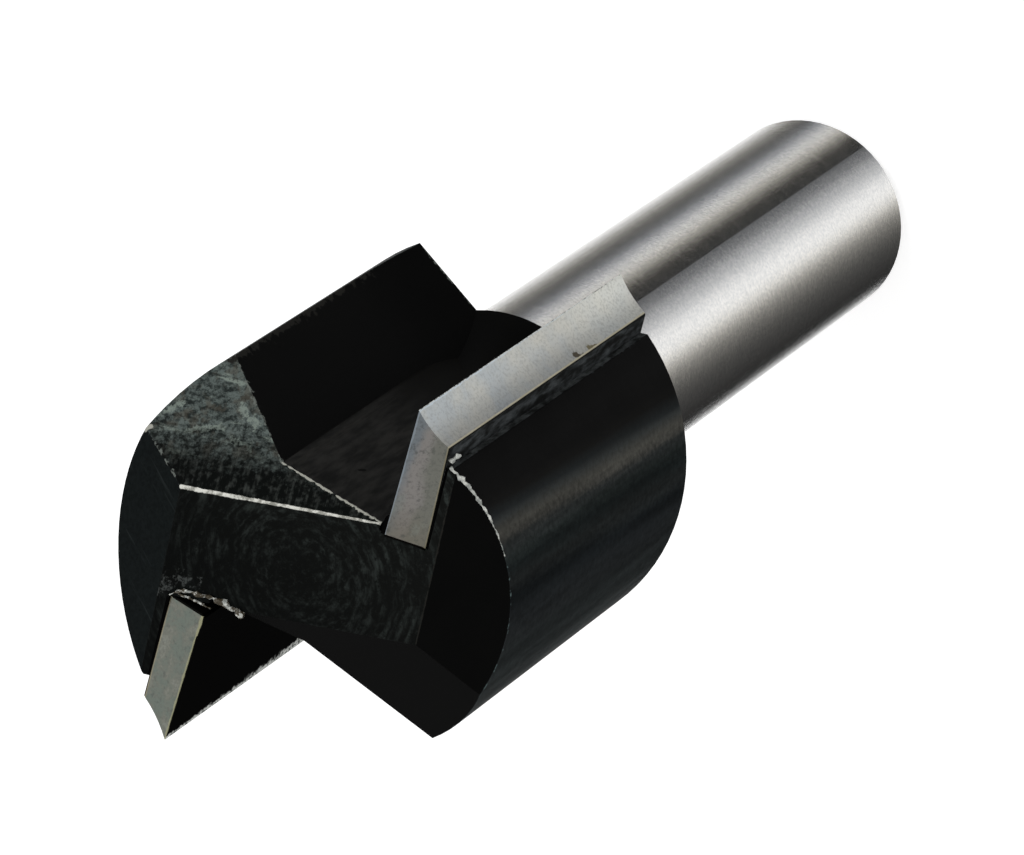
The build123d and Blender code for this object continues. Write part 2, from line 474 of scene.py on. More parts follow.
def edges(tree, place, rows):
    """Mask of marked lines, worn or painted as highlights: start, end, one width or two, raggedness
    and grain of each.
    """
    total = None
    for start, end, width, ragged, grain in rows:
        first, last = width if isinstance(width, tuple) else (width, width)
        ends = {"Start": start, "End": end, "Start_Width": first, "End_Width": last}
        mask = use(tree, wear_and_highlight_line, Place=place, **ends, Ragged=ragged, Grain=grain)["Mask"]
        total = mask if total is None else calc(tree, "MAXIMUM", total, mask)
    return total


print("helpers for surfaces ready")

# %% Spots, and the end of a finish
def spotted(tree, place, scale, start, end, low=0.0, high=1.0, **grain):
    """A noise cut between two of its levels, which leaves spots."""
    return ramp_between(tree, noise(tree, place, scale, **grain), start, end, low, high)


def jittered(tree, value, wobble, amount):
    """A value pushed up and down by a noise."""
    return calc(tree, "MULTIPLY_ADD", calc(tree, "SUBTRACT", wobble, 0.5), amount, value)


def close_finish(finish, shader_inputs, relief, strength, depth):
    """Ends a material with a bump from its relief, the shader, and the output."""
    tree = finish.node_tree
    bump = put(tree, "ShaderNodeBump", {"Height": relief, "Strength": strength, "Distance": depth})
    shader_inputs = {**shader_inputs, "Normal": bump.outputs[0]}
    surface = put(tree, "ShaderNodeBsdfPrincipled", shader_inputs)
    put(tree, "ShaderNodeOutputMaterial", {"Surface": surface.outputs[0]})
    print("material:", finish.name, "with", len(tree.nodes), "nodes")


print("helpers for finishes ready")

# %% [markdown]
# The body has several kinds of face. Material slots could tell them apart, but the solid's mesh
# stays as it is. So masks find them: by height, by distance from the axis, and by the planes above.

# %% Body steel: masks of its faces
body_steel, tree = new_finish("body steel")
place, normal = surface_place(tree)
x, y, z = split(tree, place)
slack = 0.02

head = ramp_between(tree, z, neck_height - 0.08, neck_height + 0.08)
faced = calc(tree, "GREATER_THAN", z, face_height - slack)
bevelled = on_face(tree, place, normal, scuffed_bevel)
left_end = on_face(tree, place, normal, left_bevel)
floored = on_face(tree, place, normal, gullet_floor)
radius = calc(tree, "SQRT", calc(tree, "MULTIPLY_ADD", x, x, times(tree, y, y)))
rounded = calc(tree, "GREATER_THAN", radius, head_radius - 0.03)
azimuth = times(tree, calc(tree, "ARCTAN2", y, x), 180 / pi)
print("faced end from", face_height, "mm, lobes from", head_radius, "mm off the axis")

# %% [markdown]
# The shank is ground between centres, so its fine lines run round it. Towards the head it has
# bright flecks and dull scuffs from the chuck. Lines and scuffs work through the roughness, since
# on bare metal that is what the eye reads.

# %% Body steel: ground shank
rings = use(tree, ground_lines, Place=place, Stretch=(0.12, 0.12, 9.0), Fineness=1.6)
wheel_grit = noise(tree, place, 5.5, roughness=0.6)
shank_tone = calc(tree, "MULTIPLY_ADD", wheel_grit, 0.7, times(tree, rings["Tint"], 0.3))
shank_tone = ramp_between(tree, shank_tone, 0.3, 0.7)
shank_colour = blend(tree, shank_tone, (0.60, 0.605, 0.605, 1), (0.785, 0.775, 0.755, 1))
near_head = ramp_between(tree, z, 26.0, 44.0)
flecks = times(tree, spotted(tree, place, 2.3, 0.66, 0.74, roughness=0.7), near_head)
shank_colour = blend(tree, flecks, shank_colour, (0.92, 0.91, 0.88, 1))
scuff_marks = spotted(tree, squeezed(tree, place, (1.0, 1.0, 0.35)), 0.8, 0.52, 0.72, detail=4.0)
shank_rough = blend_value(tree, rings["Height"], 0.14, 0.25)
chuck_marks = times(tree, scuff_marks, near_head)
shank_rough = calc(tree, "MULTIPLY_ADD", chuck_marks, 0.06, shank_rough)
print("shank ground up to", neck_height, "mm")

# %% [markdown]
# Black oxide is nearly the same dark tone everywhere. What tells the faces apart is their grain:
# the gullet floor keeps long cutter marks and is greyer, and the left bevel has a few scratches.

# %% Body steel: black oxide in the gullets and on the bevels
blotch = noise(tree, place, 0.35, detail=4.0)
oxide = blend(tree, blotch, (0.0028, 0.0029, 0.0029, 1), (0.0044, 0.0044, 0.0042, 1))
floor_grain = spotted(tree, squeezed(tree, place, (2.2, 2.2, 0.5)), 1.0, 0.3, 0.7, detail=5.0)
floor_colour = blend(tree, floor_grain, (0.0075, 0.0078, 0.0076, 1), (0.0225, 0.0220, 0.0207, 1))
left_grain = spotted(tree, place, 4.0, 0.3, 0.7, roughness=0.65)
left_colour = blend(tree, left_grain, (0.0036, 0.0052, 0.0054, 1), (0.0070, 0.0096, 0.0098, 1))
scratch_place = stretched(tree, place, 84.0, 5.0, 0.35)
scratched = spotted(tree, scratch_place, 1.0, 0.60, 0.72, detail=4.0, roughness=0.6)
left_colour = blend(tree, times(tree, scratched, 0.6), left_colour, (0.022, 0.027, 0.027, 1))
print("oxide tones ready")

# %% [markdown]
# A pale band runs down each lobe: a painted reflection, the sheen of a window on the satin oxide.
# A lamp could draw it, but here it is laid into the colour and shows from every side. A scale of
# tones runs across the band, by the azimuth off its middle line, which slants a little with the
# height. Two noises fray it.

# %% Body steel: lobes, with the painted reflection band
# painted reflection: the pale band is the sheen of a window, laid into the lobe's colour
reflection_azimuth = -51.5
reflection_slant = 0.20
reflection_reach = 45
lobe_tones = [
    (-45, (0.0300, 0.0350, 0.0355)), (-36, (0.0235, 0.0275, 0.0280)),
    (-30, (0.0190, 0.0215, 0.0225)), (-24, (0.0165, 0.0190, 0.0205)),
    (-19, (0.0105, 0.0130, 0.0145)), (-14, (0.0180, 0.0205, 0.0205)),
    (-10, (0.0120, 0.0160, 0.0165)), (-7, (0.0200, 0.0255, 0.0250)),
    (-4, (0.0340, 0.0380, 0.0380)), (-2, (0.0660, 0.0650, 0.0580)),
    (0, (0.0840, 0.0825, 0.0720)), (3, (0.0420, 0.0460, 0.0450)),
    (5, (0.0150, 0.0180, 0.0190)), (8, (0.0050, 0.0050, 0.0047)),
    (11, (0.0020, 0.0020, 0.0020)), (45, (0.0020, 0.0020, 0.0020)),
]
streaks = noise(tree, squeezed(tree, place, (0.9, 0.9, 0.06)), 1.0, detail=5.0)
grain = noise(tree, place, 3.0, detail=4.0, roughness=0.65)
folded = calc(
    tree, "SUBTRACT", azimuth, times(tree, calc(tree, "GREATER_THAN", azimuth, 0.0), 180.0)
)
reflection_line = calc(tree, "MULTIPLY_ADD", z, reflection_slant, reflection_azimuth)
off_reflection = jittered(tree, calc(tree, "SUBTRACT", folded, reflection_line), streaks, 5.0)
off_reflection = jittered(tree, off_reflection, grain, 2.0)
reflection_scale = [(offset / (2 * reflection_reach) + 0.5, (*tone, 1.0)) for offset, tone in lobe_tones]
reflection_share = calc(tree, "MULTIPLY_ADD", off_reflection, 1 / (2 * reflection_reach), 0.5)
uneven = times(
    tree,
    ramp_between(tree, grain, 0.2, 0.8, 0.70, 1.30),
    ramp_between(tree, streaks, 0.3, 0.7, 0.72, 1.28),
)
lobe_colour = scaled(tree, tone_scale(tree, reflection_share, reflection_scale), uneven)
print("band at azimuth", reflection_azimuth)

# %% [markdown]
# A narrow land lies behind each seam of braze. The finishing cutter chattered over it and left a
# broken line of scuffs beside it. The rim of the lobe carries bright dots, where its burr is too
# small to model.

# %% Body steel: land behind each tip, and the scuffs beside it
land_width = 0.58
land_start = 9.0
rim_band = 0.09
behind_seam = times(tree, dot(tree, place, braze_back["Facing"]), calc(tree, "SIGN", x))
past_seam = calc(tree, "SUBTRACT", behind_seam, braze_back["Distance"])
at_seam = calc(tree, "GREATER_THAN", past_seam, -slack)
beside = times(tree, at_seam, calc(tree, "LESS_THAN", past_seam, land_width))
land = times(tree, beside, calc(tree, "GREATER_THAN", radius, land_start))
chatter = noise(tree, squeezed(tree, place, (1.5, 1.5, 0.6)), 1.5, detail=5.0, roughness=0.7)
land_tone = ramp_between(tree, chatter, 0.35, 0.72)
land_colour = blend(tree, land_tone, (0.0120, 0.0128, 0.0124, 1), (0.098, 0.108, 0.110, 1))
scuff_line = edges(
    tree,
    place,
    [
        ((10.98, -2.70, 70.5), (10.90, -3.02, 46.5), 0.17, 1.6, 2.2),
        ((-10.98, 2.70, 70.5), (-10.90, 3.02, 46.5), 0.17, 1.6, 2.2),
    ],
)
scuff_line = times(tree, scuff_line, ramp_between(tree, chatter, 0.35, 0.65))
lobe_colour = blend(tree, scuff_line, lobe_colour, (0.095, 0.108, 0.112, 1))
over_bevel = calc(tree, "SUBTRACT", dot(tree, place, lobe_bevel["Facing"]), lobe_bevel["Distance"])
at_rim = calc(tree, "LESS_THAN", calc(tree, "ABSOLUTE", over_bevel), rim_band)
rim_dots = times(tree, at_rim, spotted(tree, place, 2.4, 0.56, 0.64, roughness=0.7))
lobe_colour = blend(tree, rim_dots, lobe_colour, (0.090, 0.125, 0.125, 1))
print("land", land_width, "mm wide")

# %% [markdown]
# The end was faced in a lathe, and the tool tore the black steel in short arcs round the axis. A
# ring pattern alone would look printed. So a noise is read along a spoke and a hoop, which gives
# broken arcs, and pits and patches wear holes in them.

# %% Body steel: broken turning marks on the faced end
spoke = vector_calc(tree, "NORMALIZE", put(tree, "ShaderNodeCombineXYZ", {0: x, 1: y}).outputs[0])
wander = times(tree, noise(tree, place, 0.9, detail=2.0), 1.6)
hoop_height = calc(tree, "MULTIPLY_ADD", radius, 2.9, wander)
hoop = put(tree, "ShaderNodeCombineXYZ", {2: hoop_height}).outputs[0]
arc_place = vector_calc(tree, "ADD", scaled(tree, spoke, 3.4), hoop)
arcs = noise(tree, arc_place, 1.0, roughness=0.6)
pits = noise(tree, place, 3.6, detail=4.0, roughness=0.7)
patches = noise(tree, place, 0.55, detail=2.0)
ring_radius = calc(tree, "MULTIPLY_ADD", wander, 0.12, 1.55)
ring_gap = calc(tree, "ABSOLUTE", calc(tree, "SUBTRACT", radius, ring_radius))
ring = times(
    tree, ramp_between(tree, ring_gap, 0.02, 0.14, 0.7, 0.0), spotted(tree, place, 1.3, 0.45, 0.62)
)
torn = times(tree, ramp_between(tree, arcs, 0.43, 0.74), ramp_between(tree, radius, 0.8, 1.8))
torn = times(tree, calc(tree, "MAXIMUM", torn, ring), ramp_between(tree, pits, 0.30, 0.60))
torn = calc(tree, "MAXIMUM", torn, times(tree, ramp_between(tree, pits, 0.50, 0.80), 0.6))
away = calc(tree, "MULTIPLY_ADD", x, 0.05, ramp_between(tree, patches, 0.3, 0.7, 0.35, 0.80))
torn = calc(tree, "MULTIPLY", torn, away, clamp=True)
side_tone = ramp_between(tree, x, -7.0, 9.0)
faced_base = blend(tree, side_tone, (0.0042, 0.0047, 0.0045, 1), (0.0078, 0.0084, 0.0078, 1))
faced_colour = blend(tree, torn, faced_base, (0.036, 0.043, 0.040, 1))
print("arcs round the axis ready")

# %% Body steel: shadow of the seam, and chips at tip 2's seat
shadow_width = 0.14
shadow_from = 6.3
seam_shadow = times(
    tree,
    at_seam,
    calc(tree, "LESS_THAN", past_seam, shadow_width),
    calc(tree, "GREATER_THAN", calc(tree, "ABSOLUTE", x), shadow_from),
)
faced_colour = blend(tree, seam_shadow, faced_colour, grey(0.0012))
chip_line = [(-6.21, 5.37, face_height), (-5.11, 4.87, face_height), (-4.38, 3.81, face_height)]
chips = edges(
    tree,
    place,
    [(chip_line[0], chip_line[1], 0.55, 1.4, 1.6), (chip_line[1], chip_line[2], 0.45, 1.4, 1.6)],
)
chips = times(tree, chips, ramp_between(tree, pits, 0.50, 0.62))
faced_colour = blend(tree, chips, faced_colour, (0.055, 0.060, 0.058, 1))
print("chips along", len(chip_line), "points")

# %% [markdown]
# The gullet's bevel was touched up after the blackening, and its outer half is grey and smeared.
# The smears run one way, so their noise is stretched along an azimuth. The grey ends in a frayed
# border: the distance to it is pushed about by the same noises.

# %% Body steel: mottling of the touched-up bevel
slope = put(tree, "ShaderNodeCombineXYZ", {0: dot(tree, place, (1.9, -2.9, 0.0))}).outputs[0]
slope_lines = vector_calc(tree, "ADD", squeezed(tree, place, (0.45, 0.45, 0.3)), slope)
scuff = noise(tree, slope_lines, 1.0, detail=5.0, roughness=0.72)
scuff = calc(tree, "MULTIPLY_ADD", noise(tree, place, 2.6), 0.5, times(tree, scuff, 0.5))
smear_place = stretched(tree, place, -54.0, 1.3, 0.38)
smear = noise(tree, smear_place, 1.0, detail=5.0, roughness=0.72)
mottle = noise(tree, place, 2.7, detail=5.0, roughness=0.78)
depth = jittered(tree, dot(tree, place, (0.830, 0.5577, 0.0)), mottle, 3.4)
to_rim = ramp_between(tree, jittered(tree, depth, smear, 2.0), 4.4, 6.9)
scuff_tone = ramp_between(tree, scuff, 0.47, 0.68)
scuffed_colour = blend(tree, scuff_tone, (0.0042, 0.0050, 0.0046, 1), (0.046, 0.051, 0.047, 1))
patchy = calc(tree, "MULTIPLY_ADD", mottle, 0.55, times(tree, smear, 0.45))
patchy = ramp_between(tree, patchy, 0.41, 0.57)
lit_colour = blend(tree, patchy, (0.019, 0.024, 0.023, 1), (0.124, 0.150, 0.141, 1))
brownish = times(tree, spotted(tree, place, 1.1, 0.50, 0.64, detail=2.0), 0.6)
lit_colour = blend(tree, brownish, lit_colour, (0.086, 0.079, 0.063, 1))
print("bevel's grey half ready")

# %% Body steel: bright smears and dark grit on the bevel
long_place = stretched(tree, place, -57.0, 2.4, 0.42)
long_smear = spotted(tree, long_place, 1.0, 0.56, 0.66, detail=4.0, roughness=0.62)
long_smear = times(tree, long_smear, ramp_between(tree, pits, 0.3, 0.5))
touches = edges(
    tree,
    place,
    [
        ((0.88, 9.41, 69.29), (2.17, 8.17, 68.98), 0.20, 1.6, 2.6),
        ((2.26, 7.22, 69.35), (2.74, 6.22, 69.48), 0.22, 1.6, 2.6),
        ((3.38, 8.07, 68.21), (3.45, 6.81, 68.74), 0.24, 1.8, 2.6),
        ((0.47, 11.05, 68.82), (1.19, 10.78, 68.46), 0.20, 1.8, 2.6),
    ],
)
touches = times(tree, touches, ramp_between(tree, pits, 0.32, 0.55))
touches = times(tree, calc(tree, "MAXIMUM", long_smear, touches), 0.8)
lit_colour = blend(tree, touches, lit_colour, (0.245, 0.290, 0.255, 1))
gritty = spotted(tree, place, 4.2, 0.38, 0.48, 0.60, 0.0, roughness=0.7)
lit_colour = blend(tree, gritty, lit_colour, (0.020, 0.024, 0.023, 1))
scuffed_colour = blend(tree, to_rim, scuffed_colour, lit_colour)
print("smears on the bevel ready")

# %% [markdown]
# The bright lines on the head are partly bare steel and partly painted highlight. The ridges beside
# the faced end were touched by the cutter after the blackening, and the rims of the gullets are
# rubbed; the light that these edges catch is painted along them as well. The faint lines along the
# gullet wall and its foot, and along the border of the faced end, are painted highlights only. Each
# is a pair of points on the solid. A few are only a shade lighter than the oxide, and are broken by
# gaps.

# %% Body steel: places of the rubbed and highlighted edges, in millimetres
ridge_left = (-0.81, 7.59, face_height)
ridge_right = (5.58, -1.92, face_height)
floor_edge_outer = (3.52, 4.36, 69.80)
floor_edge_inner = (5.64, -1.90, 71.20)
wall_edge_outer = (4.46, 10.38, 66.45)
wall_edge_back = (4.46, 10.38, back_height)
hip_rim = (-0.65, 11.28, 69.48)
hip_fleck = ((-0.72, 11.20, 69.46), (-0.40, 11.14, 69.40))
wall_back_inner = (4.94, 5.03, back_height)
wall_back_outer = (5.68, 9.77, back_height)
border_near = (10.0, -3.69, face_height)
border_far = (1.63, -7.24, face_height)
wall_foot = ((3.655, 3.96, 69.4), (3.655, 3.96, 57.0))
wall_foot_beside = ((3.72, 3.77, 69.2), (3.72, 3.77, 57.0))
pit_place = ((4.53, 1.38, 66.75), (4.57, 1.24, 66.50))
print("ridge from", ridge_left, "to", ridge_right)

# %% Body steel: masks of the rubbed edges and painted highlights
# partly painted highlight: these lines are bare steel and also the light their edges catch
bright_edges = edges(tree, place, [(ridge_left, ridge_right, (0.145, 0.07), 0.42, 2.2)])
broken_edges = edges(
    tree,
    place,
    [
        (floor_edge_outer, floor_edge_inner, (0.06, 0.10), 1.5, 3.4),
        (*hip_fleck, 0.20, 0.8, 2.4),
    ],
)
dim_edges = edges(
    tree,
    place,
    [
        (wall_edge_outer, floor_edge_outer, (0.14, 0.10), 2.0, 3.2),
        (hip_rim, ridge_left, (0.10, 0.05), 2.0, 3.0),
        (wall_back_inner, wall_back_outer, 0.13, 1.6, 2.0),
    ],
)
# painted highlight: faint glints along the wall, its foot and the border of the faced end
faint_edge_highlights = edges(
    tree,
    place,
    [
        (border_near, border_far, 0.035, 1.8, 2.4),
        (wall_edge_outer, wall_edge_back, 0.30, 2.0, 2.0),
        (*wall_foot, (0.05, 0.01), 0.6, 1.0),
        (*wall_foot_beside, (0.04, 0.01), 0.6, 1.0),
    ],
)
floor_pit = edges(tree, place, [(*pit_place, 0.15, 0.9, 2.6)])
gaps = spotted(tree, place, 1.9, 0.49, 0.58, detail=4.0, roughness=0.75)
line_grain = spotted(tree, place, 2.6, 0.35, 0.60, roughness=0.7)
line_colour = blend(tree, line_grain, (0.34, 0.34, 0.30, 1), (0.86, 0.86, 0.79, 1))
print("rubbed edges ready")

# %% [markdown]
# The layers go on in the order of the work: oxide first, then the faces with marks of their own,
# then the bare edges and the painted edge highlights. Each layer is blended over the last by its
# mask.

# %% Body steel: all layers together
floored = times(tree, floored, ramp_between(tree, z, 53.0, 62.0))
head_colour = oxide
for mask, layer in [
    (left_end, left_colour),
    (floored, floor_colour),
    (land, land_colour),
    (rounded, lobe_colour),
    (faced, faced_colour),
    (bevelled, scuffed_colour),
    (faint_edge_highlights, (0.0190, 0.0185, 0.0165, 1)),
    (floor_pit, grey(0.0025)),
    (times(tree, dim_edges, gaps), (0.15, 0.165, 0.15, 1)),
    (broken_edges, (0.42, 0.42, 0.37, 1)),
    (bright_edges, line_colour),
]:
    head_colour = blend(tree, mask, head_colour, layer)
bare = calc(tree, "SUBTRACT", 1.0, head)
oxide_rough = blend_value(tree, blotch, 0.40, 0.52)
head_rough = blend_value(tree, calc(tree, "MAXIMUM", bevelled, faced), oxide_rough, 0.6)
relief_of_face = times(tree, calc(tree, "ADD", arcs, pits), faced)
relief_of_bevel = times(tree, calc(tree, "ADD", scuff, smear), bevelled)
rough_relief = times(tree, calc(tree, "ADD", relief_of_face, relief_of_bevel), 3.0)
close_finish(
    body_steel,
    {
        "Base Color": blend(tree, head, shank_colour, head_colour),
        "Metallic": bare,
        "Roughness": blend_value(tree, head, shank_rough, head_rough),
        "Specular IOR Level": 0.012,
    },
    relief=calc(tree, "ADD", times(tree, rings["Height"], bare), rough_relief),
    strength=0.3,
    depth=0.00003,
)

# %% [markdown]
# ## Carbide
# The tips are sintered tungsten carbide. Their reliefs are ground last and stay light grey. The
# rake faces were finished before, and are as black as the body, apart from the fresh cutting edge.
# Both tips share one material, and the sign of x tells tip 1 from tip 2.

# %% Carbide: masks, and the ground reliefs
carbide, tree = new_finish("carbide")
place, normal = surface_place(tree)
x, y, z = split(tree, place)
rake_distance = abs(rake_plane["Distance"])
behind = calc(tree, "ABSOLUTE", dot(tree, place, rake_plane["Facing"]))
dark = ramp_between(tree, behind, rake_distance + 0.015, rake_distance + 0.035, 1.0, 0.0)
ended = ramp_between(tree, dot(tree, normal, (0, 0, 1)), 0.8, 0.9)
second_tip = calc(tree, "LESS_THAN", x, 0.0)

lines = use(tree, ground_lines, Place=place, Stretch=(3.0, 3.0, 0.25), Fineness=2.0)
tone = noise(tree, place, 0.30, detail=4.0)
relief_tone = ramp_between(tree, tone, 0.35, 0.65)
relief_colour = blend(tree, relief_tone, (0.385, 0.415, 0.430, 1), (0.485, 0.480, 0.440, 1))
brighter = times(tree, ramp_between(tree, z, 57.0, 48.0), 0.6)
relief_colour = blend(tree, brighter, relief_colour, (0.70, 0.70, 0.64, 1))
print("rake faces", rake_distance, "mm off the axis")

# %% [markdown]
# The ends are duller than the long reliefs, and cloudy: bluish at the rake, warm in the middle,
# olive at the back, with pores where grains of carbide broke out.

# %% Carbide: ends of the tips
from_rake = jittered(tree, calc(tree, "SUBTRACT", behind, rake_distance), tone, 2.5)
to_middle = ramp_between(tree, from_rake, 0.2, 0.8)
end_colour = blend(tree, to_middle, (0.330, 0.368, 0.398, 1), (0.450, 0.425, 0.405, 1))
olive = ramp_between(tree, from_rake, 1.0, 1.7)
end_colour = blend(tree, olive, end_colour, (0.325, 0.328, 0.288, 1))
inner_end = times(tree, ramp_between(tree, calc(tree, "ABSOLUTE", x), 8.5, 5.4), 0.7)
end_colour = blend(tree, inner_end, end_colour, (0.315, 0.285, 0.225, 1))
cloudy = noise(tree, place, 0.9, detail=5.0, roughness=0.7)
clouds = ramp_between(tree, cloudy, 0.40, 0.60)
second_end = blend(tree, clouds, (0.235, 0.272, 0.236, 1), (0.275, 0.278, 0.236, 1))
end_colour = blend(tree, second_tip, end_colour, second_end)
pores = spotted(tree, place, 2.6, 0.44, 0.32, 0.0, 0.48, roughness=0.65)
end_colour = blend(tree, pores, end_colour, (0.13, 0.145, 0.135, 1))
pale = times(tree, ramp_between(tree, cloudy, 0.52, 0.64), 0.30)
end_colour = blend(tree, pale, end_colour, (0.44, 0.48, 0.43, 1))
relief_colour = blend(tree, ended, relief_colour, end_colour)
print("ends of the tips ready")

# %% [markdown]
# Over both go the fine specks of the sintered grain, and two marks near the foot of tip 1: a
# scorched spot of flux, and rust beside it. Each mark is a short line with a colour of its own.

# %% Carbide: specks and stains
speckled = spotted(tree, place, 5.5, 0.52, 0.38, 0.0, 0.30, roughness=0.7)
relief_colour = blend(tree, speckled, relief_colour, (0.17, 0.17, 0.16, 1))
dull = times(tree, spotted(tree, place, 1.6, 0.60, 0.75, detail=4.0, roughness=0.65), 0.4)
relief_colour = blend(tree, dull, relief_colour, (0.27, 0.27, 0.26, 1))
rust = edges(tree, place, [((11.74, -2.20, 53.30), (11.70, -2.36, 52.45), 0.20, 0.9, 2.5)])
relief_colour = blend(tree, rust, relief_colour, (0.215, 0.185, 0.105, 1))
stain = edges(tree, place, [((11.77, -2.10, 54.95), (11.70, -2.32, 54.40), 0.24, 0.9, 2.5)])
relief_colour = blend(tree, stain, relief_colour, (0.085, 0.070, 0.045, 1))
colour = blend(tree, dark, relief_colour, grey(0.0012))
print("stains on tip 1 ready")

# %% [markdown]
# The cutting edges are fresh carbide: nicks on the black rake faces, widest on tip 2, and a
# yellowish rim along tip 2's end. On the edges of tip 1 a cold painted highlight stands for the
# window they catch.

# %% Carbide: cutting edges
edge_top, edge_foot = (cutting_radius, 0.0, top_height), (cutting_radius, 0.0, back_height)
edge_top_2, edge_foot_2 = (-cutting_radius, 0.0, top_height), (-cutting_radius, 0.0, back_height)
inner_corner, inner_corner_2 = (5.52, -2.47, 71.68), (-5.52, 2.47, 71.68)
nicks = edges(
    tree,
    place,
    [(edge_top_2, edge_foot_2, (0.20, 0.62), 0.7, 3.0), (edge_top, edge_foot, 0.06, 0.8, 2.4)],
)
fresh_tone = spotted(tree, place, 3.4, 0.40, 0.52, roughness=0.7)
fresh_colour = blend(tree, fresh_tone, (0.16, 0.17, 0.16, 1), (0.86, 0.88, 0.84, 1))
colour = blend(tree, times(tree, nicks, dark), colour, fresh_colour)
rake_rim = edges(tree, place, [(edge_top_2, inner_corner_2, 0.10, 0.7, 2.0)])
colour = blend(tree, times(tree, rake_rim, 0.75), colour, (0.47, 0.465, 0.29, 1))
# painted highlight: a cold glint of the window along tip 1's edges
window_glint = edges(
    tree,
    place,
    [
        ((12.5, 0.0, 71.9), (12.5, 0.0, 50.0), (0.16, 0.05), 0.5, 1.5),
        (edge_top, inner_corner, (0.16, 0.08), 0.5, 1.5),
    ],
)
light_part = calc(tree, "SUBTRACT", 1.0, dark)
colour = blend(tree, times(tree, window_glint, light_part, 0.7), colour, (0.50, 0.58, 0.64, 1))
close_finish(
    carbide,
    {
        "Base Color": colour,
        "Metallic": light_part,
        "Roughness": blend_value(tree, dark, blend_value(tree, lines["Tint"], 0.30, 0.42), 0.35),
        "Specular IOR Level": 0.02,
    },
    relief=lines["Height"],
    strength=0.25,
    depth=0.00002,
)

# %% [markdown]
# ## Braze
# The braze is a silver solder with a yellow cast. It shows as a thin line where it is ground flush
# with the reliefs. Past that line it is painted black, as painted shade in the gap beside the tip,
# and the part by the axis is black too. Its back, above the land of the body, kept the dark skin of
# the furnace. All three are one material, told apart by the distance from the tip.

# %% Braze
tip_back = 6.436
flush_width = 0.05
ground_from = 6.2
braze, tree = new_finish("braze")
place, normal = surface_place(tree)
tone = noise(tree, place, 1.4, detail=4.0)
backed = on_face(tree, place, normal, braze_back, both_sides=1.0)
from_tip = calc(tree, "ABSOLUTE", dot(tree, place, braze_back["Facing"]))
from_tip = calc(tree, "SUBTRACT", from_tip, tip_back)
inner = calc(tree, "LESS_THAN", calc(tree, "ABSOLUTE", split(tree, place)[0]), ground_from)
# painted shade: past the flush line the braze is black, the shade of the gap beside the tip
black_braze = ramp_between(tree, from_tip, flush_width, flush_width + 0.03)
black_braze = calc(tree, "MAXIMUM", black_braze, inner)
ground_colour = blend(tree, tone, (0.25, 0.225, 0.14, 1), (0.56, 0.525, 0.40, 1))
ground_colour = blend(tree, black_braze, ground_colour, (0.0022, 0.0020, 0.0016, 1))
skin_place = squeezed(tree, place, (1.2, 1.2, 0.35))
skin = spotted(tree, skin_place, 1.6, 0.40, 0.72, detail=5.0, roughness=0.7)
skin_colour = blend(tree, skin, (0.0105, 0.0112, 0.0110, 1), (0.090, 0.100, 0.105, 1))
close_finish(
    braze,
    {
        "Base Color": blend(tree, backed, ground_colour, skin_colour),
        "Metallic": calc(tree, "SUBTRACT", 1.0, calc(tree, "MAXIMUM", backed, black_braze)),
        "Roughness": blend_value(tree, tone, 0.35, 0.5),
        "Specular IOR Level": 0.03,
    },
    relief=tone,
    strength=0.4,
    depth=0.00003,
)

# %% Give each solid its finish
finishes = {"cutter_body": body_steel, "carbide_tip": carbide, "braze_seam": braze}
for name, solid in nodes.items():
    finish = next(finishes[start] for start in finishes if name.startswith(start))
    solid.data.materials.clear()
    solid.data.materials.append(finish)
    print(name, "is", finish.name)

# %% [markdown]
# ## Burrs
# The milling cutter pushed up a ragged burr of bright steel along the rim of the right lobe, and a
# fleck of it at the corner of tip 1. The end of tip 2's seat has two more strands, mixed with
# braze and grime, so the steel of a burr is dirty on that side.

# %% Burr steel
burr_steel, tree = new_finish("burr steel")
place, normal = surface_place(tree)
tone = noise(tree, place, 3.0, detail=4.0)
torn_tone = ramp_between(tree, tone, 0.3, 0.7)
burr_colour = blend(tree, torn_tone, (0.34, 0.36, 0.34, 1), (0.86, 0.87, 0.81, 1))
tip_2_side = calc(tree, "LESS_THAN", split(tree, place)[0], 0.0)
grime = spotted(tree, place, 2.2, 0.43, 0.53, detail=4.0, roughness=0.7)
seat_dirt = times(tree, tip_2_side, grime)
close_finish(
    burr_steel,
    {
        "Base Color": blend(tree, seat_dirt, burr_colour, (0.060, 0.048, 0.028, 1)),
        "Metallic": 0.25,
        "Roughness": blend_value(tree, tone, 0.35, 0.55),
    },
    relief=tone,
    strength=0.6,
    depth=0.00005,
)

# %% [markdown]
# A burr is a thin thread of torn metal. Sculpting would make one, but a curve along its edge, thick
# and thin by turns, can be read and repeated. It is turned into a mesh, divided, and cloud noise
# tears its surface.

# %% Burr maker
torn_noise = bpy.data.textures.new("torn metal", "CLOUDS")
torn_noise.noise_scale = 0.00022
torn_noise.noise_depth = 2
weld_distance = 0.000002


def thread_curve(name, points, radii):
    """Curve along points in millimetres, with a radius at each point."""
    bpy.ops.object.select_all(action="DESELECT")
    bpy.ops.curve.primitive_nurbs_path_add(location=(0, 0, 0))
    bpy.context.object.name = name
    path = bpy.context.object.data
    path.splines.clear()
    spline = path.splines.new("POLY")
    spline.points.add(len(points) - 1)
    for point, where, thickness in zip(spline.points, points, radii):
        point.co = (*[value / metres_to_mm for value in where], 1.0)
        point.radius = thickness / metres_to_mm
    path.dimensions = "3D"
    path.bevel_depth = 1.0
    path.bevel_resolution = 2
    path.use_fill_caps = True


